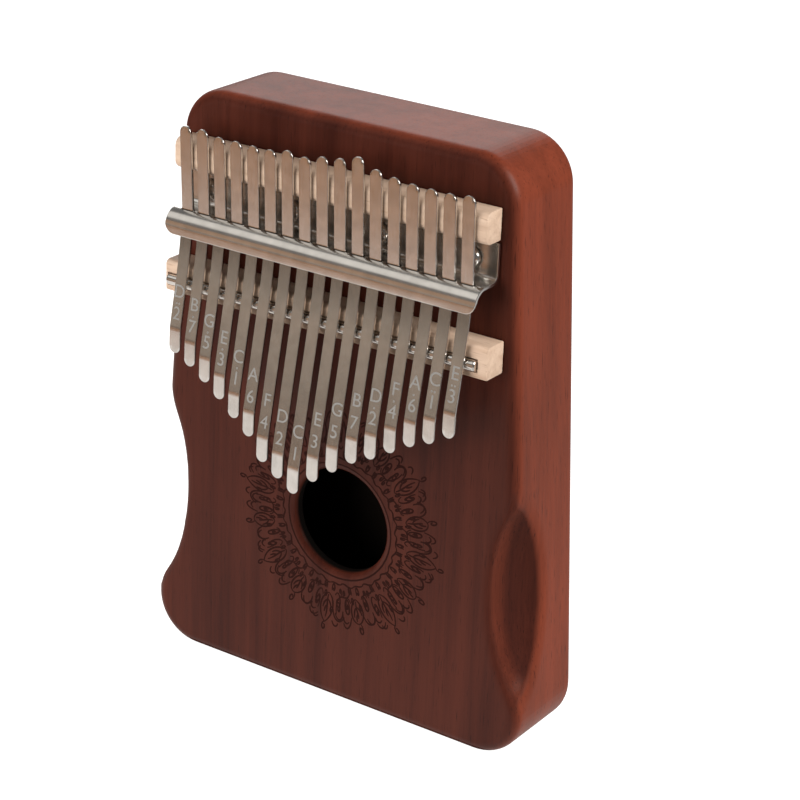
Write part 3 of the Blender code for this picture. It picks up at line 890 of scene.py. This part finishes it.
def make_screw(number, steel):
    """Pan head with a cross recess over a pointed shank."""
    low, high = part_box(f"bracket_screw_{number}")
    centre = Vector(((low.x + high.x) / 2, low.y + SCREW_DOME, (low.z + high.z) / 2))
    head, tall = SCREW_HEAD / 2, SCREW_DOME
    profile = [(0.0, -tall)]
    for step in range(1, 9):
        angle = math.pi / 2 * step / 8
        profile.append((head * math.sin(angle), -tall * (0.3 + 0.7 * math.cos(angle))))
    reach = high.y - centre.y
    profile += [(head, -0.0001), (head - 0.0001, 0.0), (SCREW_SHANK, 0.0), (SCREW_SHANK, 0.75 * reach),
                (0.0, reach)]
    screw = finish_piece(f"screw_{number}", turned_shape(profile, centre, 48), steel)
    arms = []
    for turn in (0, math.pi / 2):
        recess = bmesh.new()
        place = Matrix.Translation(centre - Vector((0, tall, 0))) @ Matrix.Rotation(turn + number, 4, "Y")
        arm = Matrix.Diagonal((0.0031, 0.0022, 0.0006, 1))
        bmesh.ops.create_cube(recess, size=1.0, matrix=place @ arm)
        arms.append(finish_piece("recess", recess, steel))
    apply_cuts(screw, arms)
    smooth_again(screw, 35)
    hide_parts(f"bracket_screw_{number}")
    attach(screw, "body")


# ---------------------------------------------------------------- wreath round the sound hole

def spiral(centre, start_radius, end_radius, start, turns, steps=22):
    """Scroll about a centre, from one radius to the other; negative turns wind the other way."""
    points = []
    for step in range(steps + 1):
        share = step / steps
        radius = start_radius * (end_radius / start_radius) ** share
        angle = start + 2 * math.pi * turns * share
        points.append((centre[0] + radius * math.cos(angle), centre[1] + radius * math.sin(angle)))
    return points


def stroke(first, first_pull, second_pull, last, steps=12):
    """Soft stroke between two points, drawn by two pulls."""
    parts = (first, first_pull, second_pull, last)
    points = []
    for step in range(steps + 1):
        share = step / steps
        rest = 1 - share
        weights = (rest ** 3, 3 * rest ** 2 * share, 3 * rest * share * share, share ** 3)
        points.append(tuple(sum(weight * part[axis] for weight, part in zip(weights, parts))
                            for axis in (0, 1)))
    return points


def wreath_unit(tall):
    """Strokes of one leaf-and-scroll unit: sideways from -1 to 1, outwards from 0 to about 1."""
    top = 1.0 if tall else 0.82
    strokes = [stroke((0.0, 0.30), (0.55, 0.42), (0.50, 0.80), (0.04, top)),
               stroke((0.0, 0.30), (-0.50, 0.40), (-0.42, 0.74), (0.04, top)),
               stroke((0.0, 0.34), (0.10, 0.50), (-0.06, 0.66), (0.03, top - 0.12)),
               stroke((0.0, 0.46), (0.16, 0.50), (0.26, 0.58), (0.24, 0.68), 8),
               stroke((0.0, 0.46), (-0.14, 0.50), (-0.22, 0.56), (-0.22, 0.64), 8),
               stroke((0.02, 0.60), (0.10, 0.64), (0.14, 0.70), (0.13, 0.77), 8),
               spiral((0.62, 0.52), 0.27, 0.05, 3.6, 1.35),
               spiral((-0.66, 0.44), 0.24, 0.05, -0.6, -1.3),
               spiral((0.34, 0.15), 0.14, 0.04, 2.6, 1.1, 14),
               spiral((-0.32, 0.16), 0.14, 0.04, 0.5, -1.1, 14),
               stroke((0.62, 0.80), (0.80, 0.90), (0.98, 0.80), (0.96, 0.60)),
               stroke((-0.50, 0.70), (-0.66, 0.92), (-0.94, 0.84), (-0.98, 0.62)),
               stroke((-1.0, 0.02), (-0.60, 0.10), (-0.40, -0.02), (0.0, 0.06)),
               stroke((0.0, 0.06), (0.40, 0.12), (0.62, -0.04), (1.0, 0.02)),
               spiral((0.80, 0.22), 0.10, 0.03, 1.0, -1.0, 12),
               spiral((-0.84, 0.20), 0.10, 0.03, 2.0, 1.0, 12)]
    if tall:
        strokes += [spiral((0.06, top + 0.10), 0.10, 0.04, -1.6, 1.1, 14),
                    stroke((0.40, 0.92), (0.52, 1.02), (0.68, 1.0), (0.70, 0.90), 8),
                    stroke((-0.34, 0.90), (-0.44, 1.04), (-0.62, 1.02), (-0.66, 0.92), 8)]
    else:
        strokes += [spiral((0.0, top + 0.12), 0.13, 0.04, 4.4, -1.2, 14)]
    return strokes


def scroll_unit(far):
    """Strokes that fill the gaps between the leaves: paired scrolls and a curling tendril."""
    lift = 0.16 if far else 0.0
    return [spiral((0.30, 0.40 + lift), 0.20, 0.04, 0.8, -1.3, 18),
            spiral((-0.36, 0.62 - lift), 0.20, 0.04, 2.4, 1.3, 18),
            stroke((-0.80, 0.10), (-0.40, 0.34 + lift), (0.10, 0.10), (0.44, 0.30 + lift)),
            stroke((-0.10, 0.72), (0.20, 0.92), (0.66, 0.90), (0.74, 0.66 - lift)),
            spiral((0.82, 0.50 + lift), 0.11, 0.03, 3.0, 1.2, 12),
            spiral((-0.86, 0.36), 0.11, 0.03, 0.2, -1.2, 12),
            stroke((-0.60, 0.86 - lift), (-0.36, 1.02), (-0.10, 0.98), (-0.04, 0.84), 8)]


def draw_strokes(drawing, strokes, middle, half, swell):
    """Wrap flat strokes round the sound hole, thick in the middle and thin at their ends."""
    for points in strokes:
        line = drawing.splines.new("POLY")
        last = len(points) - 1
        line.points.add(last)
        for index, (across, out) in enumerate(points):
            radius = WREATH_INNER + (WREATH_OUTER - WREATH_INNER) * out * swell
            angle = middle + across * half
            x = HOLE_CENTRE.x + radius * math.sin(angle)
            z = HOLE_CENTRE.z + radius * math.cos(angle)
            line.points[index].co = (x, 0, z, 1)
            line.points[index].radius = 0.55 + 0.9 * math.sin(math.pi * (0.12 + 0.76 * index / last))


def make_wreath(burnt, units=16):
    """Ring of leaves and scrolls engraved round the sound hole, with a plain circle inside it."""
    drawing = bpy.data.curves.new("wreath", "CURVE")
    drawing.dimensions = "3D"
    drawing.bevel_depth = WREATH_LINE
    drawing.bevel_resolution = 1
    step = math.pi / units
    for unit in range(units):
        middle = 2 * step * (unit + 0.3)
        swell = 1 + 0.05 * math.sin(3.1 * unit)
        draw_strokes(drawing, wreath_unit(unit % 2 == 0), middle, 1.04 * step, swell)
        draw_strokes(drawing, scroll_unit(unit % 2 == 1), middle + step, 0.9 * step, swell)
    circle = [(turn / 24, -0.09) for turn in range(49)]
    draw_strokes(drawing, [circle], 0.0, math.pi, 1.0)
    mesh = mesh_of(drawing)
    mesh.transform(Matrix.Translation((0, FRONT, 0)) @ Matrix.Diagonal((1, 0.12, 1, 1)))
    shape = bmesh.new()
    shape.from_mesh(mesh)
    bmesh.ops.recalc_face_normals(shape, faces=shape.faces)
    wreath = finish_piece("engraved_wreath", shape, burnt, smooth=80)
    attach(wreath, "body")


# ---------------------------------------------------------------- the whole piece

set_camera()
set_backdrop()
set_floor()
set_lights()

body_wood = lacquered_wood("lacquered_body_wood", (0.037, 0.0066, 0.0034), (0.077, 0.0163, 0.0085))
plate_wood = lacquered_wood("lacquered_plate_wood", (0.080, 0.015, 0.008), (0.170, 0.037, 0.020))
beech = pale_wood("pale_bar_wood")
key_steel = polished_steel("polished_key_steel", 0.20, (1000, 1000, 30))
bracket_steel = polished_steel("polished_bracket_steel", 0.22, (30, 1000, 1000))
rod_steel = polished_steel("polished_rod_steel", 0.15, (30, 1000, 1000))
mark = frosted_mark("etched_notes")
burnt = burnt_wood("engraved_lines")

make_body(body_wood)
make_wreath(burnt)
for key_number in range(1, KEYS + 1):
    make_key(key_number, key_steel)
    make_note(key_number, mark)
make_bar("upper_bar", BAR_ROUND, BAR_ROUND, beech)
make_bar("lower_bridge", BRIDGE_TOP_ROUND, BRIDGE_BOTTOM_ROUND, beech, [make_rod(rod_steel)])
make_bracket(bracket_steel)
for screw_number in range(1, SCREWS + 1):
    make_screw(screw_number, rod_steel)
plate_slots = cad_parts["back_plate"].data.materials
plate_slots.clear()
plate_slots.append(plate_wood)
